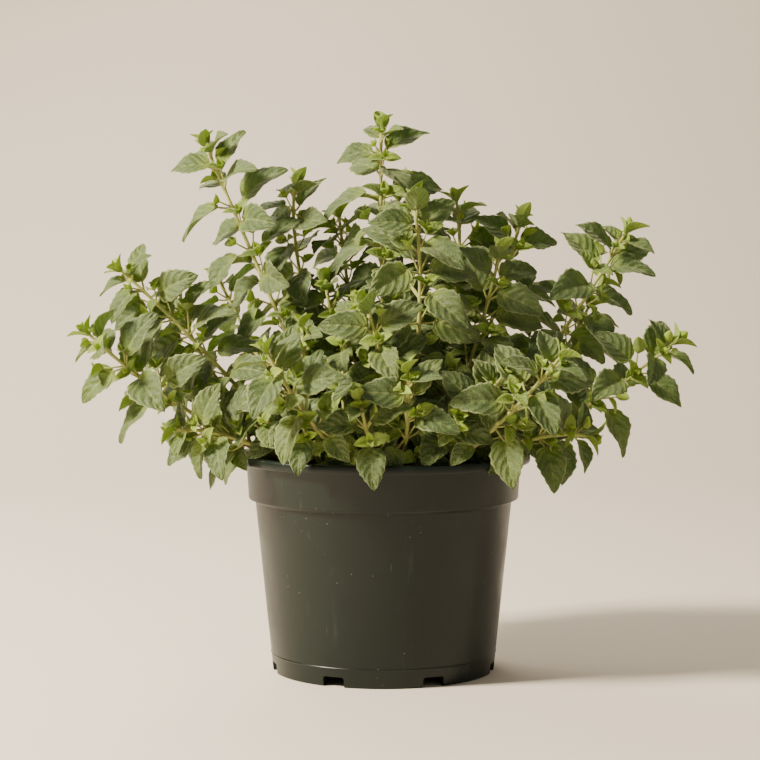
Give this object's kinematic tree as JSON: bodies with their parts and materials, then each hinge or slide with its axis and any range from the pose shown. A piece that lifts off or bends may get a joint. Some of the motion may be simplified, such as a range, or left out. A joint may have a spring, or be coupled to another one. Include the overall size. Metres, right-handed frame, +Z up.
{
  "type": "potted oregano plant",
  "caption": "Bushy oregano herb with paired, toothed, downy leaves on square stems, growing in a tapered dark plastic nursery pot filled with potting mix.",
  "frame": {"origin": "the surface that the pot stands on, at the axis of the pot, under the middle of the plant", "axes": "+Z up, -Y towards the front that the picture shows, +X to the right seen from the front"},
  "size_m": [0.3155, 0.19, 0.2842],
  "materials": {
    "pot_plastic": "dark green-black, satin, with faint scuffs",
    "potting_mix": "moist dark peat and bark",
    "foliage": "matt, finely downy green leaves and stems"
  },
  "bodies": {
    "root": {"pot": "pot_plastic", "potting_mix": "potting_mix", "shoot_back_left": "foliage", "shoot_centre_back": "foliage", "shoot_centre_front": "foliage", "shoot_centre_tall": "foliage", "shoot_front_left": "foliage", "shoot_front_low": "foliage", "shoot_front_middle": "foliage", "shoot_front_right": "foliage", "shoot_left_high": "foliage", "shoot_left_inner": "foliage", "shoot_left_low": "foliage", "shoot_left_rim": "foliage", "shoot_left_tall": "foliage", "shoot_rear_centre": "foliage", "shoot_rear_far_left": "foliage", "shoot_rear_far_right": "foliage", "shoot_rear_left": "foliage", "shoot_rear_left_low": "foliage", "shoot_rear_middle": "foliage", "shoot_rear_right": "foliage", "shoot_rear_right_low": "foliage", "shoot_right_back": "foliage", "shoot_right_inner": "foliage", "shoot_right_low": "foliage", "shoot_right_mid": "foliage", "shoot_right_rim": "foliage", "shoot_right_tall": "foliage", "young_shoot_01": "foliage", "young_shoot_02": "foliage", "young_shoot_03": "foliage", "young_shoot_04": "foliage", "young_shoot_05": "foliage", "young_shoot_06": "foliage", "young_shoot_07": "foliage", "young_shoot_08": "foliage", "young_shoot_09": "foliage", "young_shoot_10": "foliage", "young_shoot_11": "foliage", "young_shoot_12": "foliage", "young_shoot_13": "foliage", "young_shoot_14": "foliage", "young_shoot_15": "foliage", "young_shoot_16": "foliage", "young_shoot_17": "foliage", "young_shoot_18": "foliage", "young_shoot_20": "foliage", "young_shoot_21": "foliage", "young_shoot_22": "foliage", "young_shoot_23": "foliage", "young_shoot_24": "foliage", "young_shoot_25": "foliage", "young_shoot_26": "foliage", "young_shoot_27": "foliage", "young_shoot_28": "foliage", "young_shoot_29": "foliage", "young_shoot_30": "foliage"}
  },
  "joints": []
}
